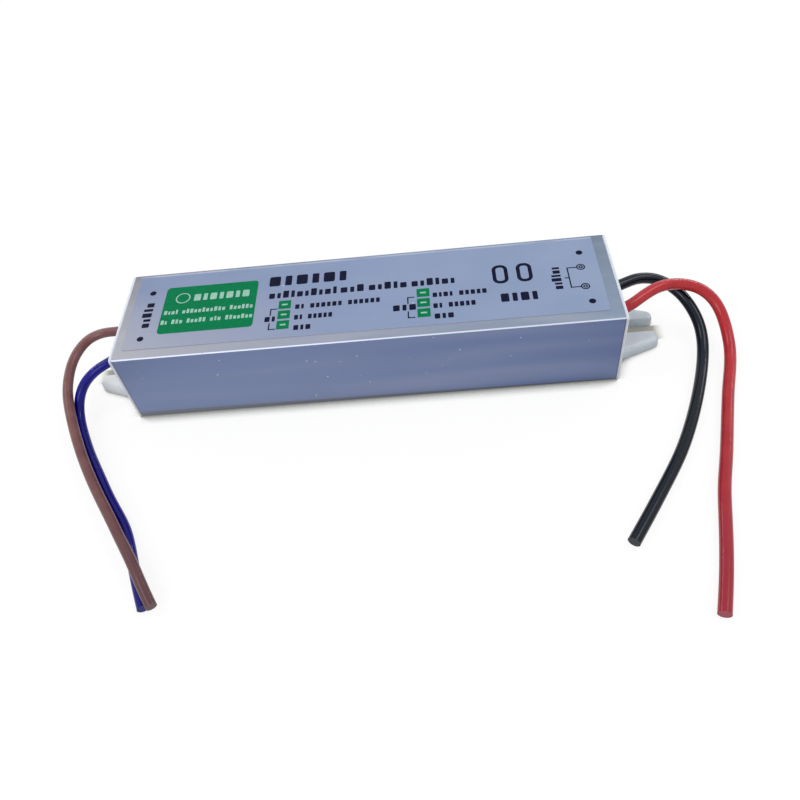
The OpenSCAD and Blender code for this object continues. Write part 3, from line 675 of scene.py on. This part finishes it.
def stroke(x0, y0, x1, y1):
    """A straight line along x or y, as wide as the print's thin lines."""
    half = LINE / 2
    return box_outline(min(x0, x1) - half, max(x0, x1) + half, min(y0, y1) - half, max(y0, y1) + half)


def ring(x, y, diameter, line):
    return disc_outline(x, y, diameter), disc_outline(x, y, diameter - 2 * line)


def frame_outline(x0, x1, y0, y1, radius, line):
    inner = box_outline(x0 + line, x1 - line, y0 + line, y1 - line, radius - line)
    return box_outline(x0, x1, y0, y1, radius), inner


# Places of the print: sides as x0, x1, y0, y1, and points as x, y
PANEL = (-49.8, -26.5, -7.55, 8.8)
PANEL_CORNER = 1.0
PANEL_RING = (-45.2, 4.55, 3.7)
SQUARE_LEFT = (-20.65, -17.65)
SQUARE_RIGHT = (12.75, 15.8)
SQUARE_ROWS = ((-2.4, 0.45), (-5.85, -3.0), (-9.3, -6.45))
SQUARE_CORNER = 0.15
DASH_INSET = 0.8
DASH = 0.5
LINE = 0.3
RING = 2.1
RING_X = 52.2
RING_ROWS = (-3.6, 3.25)
STEM_X = 48.97
STEM_BRANCH = (-0.9, -0.2)
MARKS = ((31.15, 34.9), (36.95, 40.65))
MARK_ROW = (-0.15, 6.45)
MARK_CORNER = 1.7
MARK_LINE = 0.9
DOT = 1.6
DOTS = ((-53.35, 7.35), (-53.5, -8.65), (52.7, 8.5), (52.9, -8.75))
BRACKETS = (-22.45, 10.6)
BRACKET_ROWS = ((-2.3, -4.3), (-9.15, -7.2))
BRACKET_ARM = 1.45

# Lines of blocks: sides, and the count of blocks in each word
PALE_LINES = (
    (-49.15, -27.15, -1.0, 0.5, (4, 11, 6)), (-49.4, -26.9, -4.4, -2.9, (2, 3, 5, 3, 7)),
)
PALE_TITLE = (-42.35, -28.45, 3.25, 5.6, (7,))
NAVY_TITLE = (-23.65, -4.4, 6.0, 9.5, (6,))
NAVY_WORDS = ((-23.3, -6.65, 10), (-5.65, 0, 3), (1.25, 10.45, 5), (11.65, 22, 6))
NAVY_WORDS_ROW = (1.5, 4.0)
NAVY_LINES = (
    (-16.55, 3.9, -2.85, -1.3, (2, 6, 6)), (-16.55, -7.45, -6.5, -4.95, (2, 5)),
    (-16.5, -12.45, -10.0, -8.4, (3,)), (16.55, 29.3, -2.9, -1.35, (4, 5)),
    (16.55, 26.4, -6.65, -5.05, (2, 5)), (16.7, 21.1, -10.2, -8.55, (3,)),
    (-23.7, -21.2, -6.5, -4.8, (2,)), (7.05, 12.45, -6.6, -4.65, (3,)),
    (32.4, 40.9, -6.55, -3.75, (4,)),
)
# Upright words: length, height, count of blocks, and the point they start from
END_WORDS = ((8.6, 2.4, 5, -52.2, -4.9), (7.7, 2.3, 6, 47.1, -3.85))


def green_print():
    outlines = [box_outline(*PANEL, PANEL_CORNER)]
    for x0, x1 in (SQUARE_LEFT, SQUARE_RIGHT):
        outlines += [box_outline(x0, x1, y0, y1, SQUARE_CORNER) for y0, y1 in SQUARE_ROWS]
    return outlines


def pale_print():
    outlines = block_line(*PALE_TITLE, upright=True)
    for line in PALE_LINES:
        outlines += block_line(*line)
    for x0, x1 in (SQUARE_LEFT, SQUARE_RIGHT):
        for y0, y1 in SQUARE_ROWS:
            middle = (y0 + y1) / 2
            outlines.append(box_outline(
                x0 + DASH_INSET, x1 - DASH_INSET, middle - DASH / 2, middle + DASH / 2))
    return outlines


def navy_print():
    outlines = block_line(*NAVY_TITLE, upright=True)
    for x0, x1, count in NAVY_WORDS:
        outlines += block_line(x0, x1, *NAVY_WORDS_ROW, (count,))
    for line in NAVY_LINES:
        outlines += block_line(*line, upright=True)
    for length, height, count, x, y in END_WORDS:
        outlines += sideways(block_line(0, length, 0, height, (count,)), x, y)
    for x in BRACKETS:
        for y0, y1 in BRACKET_ROWS:
            outlines += [stroke(x, y0, x, y1), stroke(x, y0, x + BRACKET_ARM, y0)]
    branch_x, branch_y = STEM_BRANCH
    outlines += [stroke(STEM_X, RING_ROWS[0], STEM_X, RING_ROWS[1])]
    outlines += [stroke(STEM_X + branch_x, branch_y, STEM_X, branch_y)]
    outlines += [stroke(STEM_X, y, RING_X - RING / 2, y) for y in RING_ROWS]
    outlines += [disc_outline(x, y, DOT) for x, y in DOTS]
    return outlines


def navy_frames():
    frames = [ring(RING_X, y, size, LINE) for y in RING_ROWS for size in (RING, 0.5 * RING)]
    for x0, x1 in MARKS:
        frames.append(frame_outline(x0, x1, *MARK_ROW, MARK_CORNER, MARK_LINE))
    return frames


def print_piece(name, outlines, frames, level, surface):
    """One colour of print as thin flat shapes on the film."""
    low = film_box()[1].z + level * PRINT_T
    shape = bmesh.new()
    for outline in outlines:
        add_prism(shape, outline, low, low + PRINT_T)
    for outer, inner in frames:
        add_frame(shape, outer, inner, low, low + PRINT_T)
    piece = mesh_piece(name, shape)
    place_piece(piece, surface, "label_film")


def make_print():
    green = ink("ink_green", srgb(4, 114, 72), srgb(6, 126, 78))
    pale = ink("ink_pale", srgb(146, 192, 176), srgb(166, 204, 190))
    navy = ink("ink_navy", srgb(12, 16, 40), srgb(24, 28, 54))
    print_piece("print_green", green_print(), [], 0, green)
    print_piece("print_pale", pale_print(), [ring(*PANEL_RING, LINE)], 1, pale)
    print_piece("print_navy", navy_print(), navy_frames(), 0, navy)


make_film()
make_print()


# Solids inside the housing
INNER = {
    "copper": COPPER,
    "board_laminate": two_tone("laminate", srgb(176, 150, 96), srgb(198, 172, 118), 0.4, 0.5),
    "solder": two_tone("solder", srgb(168, 168, 172), srgb(206, 206, 210), 2.0, 0.3, metallic=1.0),
    "compound": two_tone("compound", srgb(62, 62, 66), srgb(84, 84, 88), 0.3, 0.6),
    "fuse_ceramic": two_tone("ceramic", srgb(186, 160, 122), srgb(208, 184, 148), 0.8, 0.45),
    "blue_lacquer": two_tone("lacquer_blue", srgb(34, 72, 148), srgb(52, 96, 172), 0.7, 0.25),
    "orange_lacquer": two_tone("lacquer_orange", srgb(158, 84, 30), srgb(188, 108, 46), 0.7, 0.25),
    "ferrite": two_tone("ferrite", srgb(44, 44, 48), srgb(66, 66, 70), 1.2, 0.55),
    "black_epoxy": two_tone("epoxy_black", srgb(24, 24, 27), srgb(40, 40, 44), 1.0, 0.5),
    "white_epoxy": two_tone("epoxy_white", srgb(222, 222, 216), srgb(238, 238, 234), 1.0, 0.5),
    "capacitor_sleeve": two_tone("sleeve", srgb(24, 28, 52), srgb(38, 44, 74), 0.6, 0.3),
    "bobbin_plastic": two_tone("bobbin", srgb(34, 36, 30), srgb(52, 54, 46), 1.0, 0.45),
    "winding_tape": two_tone("tape", srgb(196, 158, 36), srgb(220, 184, 60), 0.7, 0.3),
    "resistor_lacquer": two_tone("lacquer_tan", srgb(186, 152, 106), srgb(208, 178, 132), 0.8, 0.3),
}


def dress_inner_solids():
    for part in frame["record"]["subparts"]:
        surface = INNER.get(part["material_slot"])
        if surface:
            solid = frame["nodes"][part["node"]]
            solid.data.materials.clear()
            solid.data.materials.append(surface)


dress_inner_solids()


# Stage: a white floor, soft light from the left, the right and the front, and two strips at the back
FLOOR_SIZE = 4.0
FLOOR_DROP = 0.05 * MM
FLOOR_ALBEDO = 0.55
FLOOR_SHADE = 0.15
FLOOR_GLOW = 0.87
CONTACT_REACH = 6 * MM
SKY_LIGHT = 0.55

# Name, place, width and height in metres, and power in watts
SOFT_LIGHTS = (
    ("left", (-0.45, 0.0, 0.70), 0.3, 0.3, 0.9),
    ("right", (0.45, 0.05, 0.70), 0.3, 0.3, 1.05),
    ("front", (-0.30, -0.60, 0.45), 0.3, 0.3, 1.2),
    ("back_left", (-0.56, 0.50, 0.32), 0.6, 0.03, 1.0),
    ("back_right", (0.54, 0.50, 0.36), 0.6, 0.03, 1.0),
)


def seen_directly(tree):
    """One for rays that show the background itself or its reflection, and nought for light."""
    rays = node(tree, "ShaderNodeLightPath").outputs
    shown = math_node(tree, "MAXIMUM", rays["Is Camera Ray"], rays["Is Glossy Ray"])
    return math_node(tree, "MAXIMUM", shown, rays["Is Transmission Ray"])


def contact_shadow(tree):
    """White that darkens where the housing stands on the floor, and in the ears' slots."""
    near = node(tree, "ShaderNodeAmbientOcclusion", {"Distance": CONTACT_REACH}, samples=8)
    around = ramp(tree, near.outputs["AO"], [
        (0.5, (0.22, 0.23, 0.21, 1)), (0.59, (0.5, 0.5, 0.48, 1)),
        (0.63, (0.8, 0.8, 0.79, 1)), (0.72, (1, 1, 1, 1)),
    ])
    enclosed = ramp(tree, near.outputs["AO"], [
        (0.5, (0.20, 0.20, 0.17, 1)), (0.8, (0.27, 0.27, 0.23, 1)),
        (0.96, (0.42, 0.42, 0.37, 1)), (1.0, (0.8, 0.8, 0.76, 1)),
    ])
    place = node(tree, "ShaderNodeSeparateXYZ", {0: place_mm(tree)}).outputs
    side = math_node(tree, "ABSOLUTE", place["X"])
    across = math_node(tree, "ABSOLUTE", place["Y"])
    slot = math_node(
        tree, "MULTIPLY", steps(tree, across, 2.7, 2.2), steps(tree, side, 74.5, 72))
    by_tube = math_node(
        tree, "MULTIPLY", steps(tree, side, 64, 62), steps(tree, place["Y"], -22, -20))
    by_ear = math_node(
        tree, "MULTIPLY", steps(tree, side, 78, 75), steps(tree, across, 14, 11))
    shadow = blend(tree, slot, around, enclosed)
    return blend(tree, math_node(tree, "MAXIMUM", by_tube, by_ear), (1, 1, 1, 1), shadow)


def make_floor():
    shape = bmesh.new()
    bmesh.ops.create_grid(shape, x_segments=1, y_segments=1, size=FLOOR_SIZE / 2)
    floor = mesh_piece("floor", shape)
    floor.location.z = -FLOOR_DROP
    made = bpy.data.materials.new("floor")
    made.use_nodes = True
    tree = made.node_tree
    tree.nodes.clear()
    bounce = node(tree, "ShaderNodeBsdfDiffuse", {"Color": (*[FLOOR_ALBEDO] * 3, 1)})
    shade = node(tree, "ShaderNodeBsdfDiffuse", {"Color": (*[FLOOR_SHADE] * 3, 1)})
    light = node(tree, "ShaderNodeEmission", {"Color": contact_shadow(tree), "Strength": FLOOR_GLOW})
    shown = node(tree, "ShaderNodeAddShader", {0: shade.outputs[0], 1: light.outputs[0]})
    inputs = {0: seen_directly(tree), 1: bounce.outputs[0], 2: shown.outputs[0]}
    both = node(tree, "ShaderNodeMixShader", inputs)
    node(tree, "ShaderNodeOutputMaterial", {"Surface": both.outputs[0]})
    floor.data.materials.append(made)


def make_sky():
    world = bpy.data.worlds.new("sky")
    world.use_nodes = True
    tree = world.node_tree
    strength = steps(tree, seen_directly(tree), 0.0, 1.0, SKY_LIGHT, 1.0)
    background = tree.nodes["Background"]
    background.inputs["Color"].default_value = (1, 1, 1, 1)
    tree.links.new(strength, background.inputs["Strength"])
    bpy.context.scene.world = world


def soft_light(name, place, width, height, power):
    """A rectangular softbox that faces the part, its width level."""
    data = bpy.data.lights.new(name, "AREA")
    data.shape = "RECTANGLE"
    data.size = width
    data.size_y = height
    data.energy = power
    lamp = bpy.data.objects.new(name, data)
    bpy.context.scene.collection.objects.link(lamp)
    lamp.location = place
    lamp.rotation_euler = (-Vector(place)).to_track_quat("-Z", "Y").to_euler()


make_floor()
make_sky()
for light in SOFT_LIGHTS:
    soft_light(*light)
bpy.context.scene.view_settings.view_transform = "Standard"
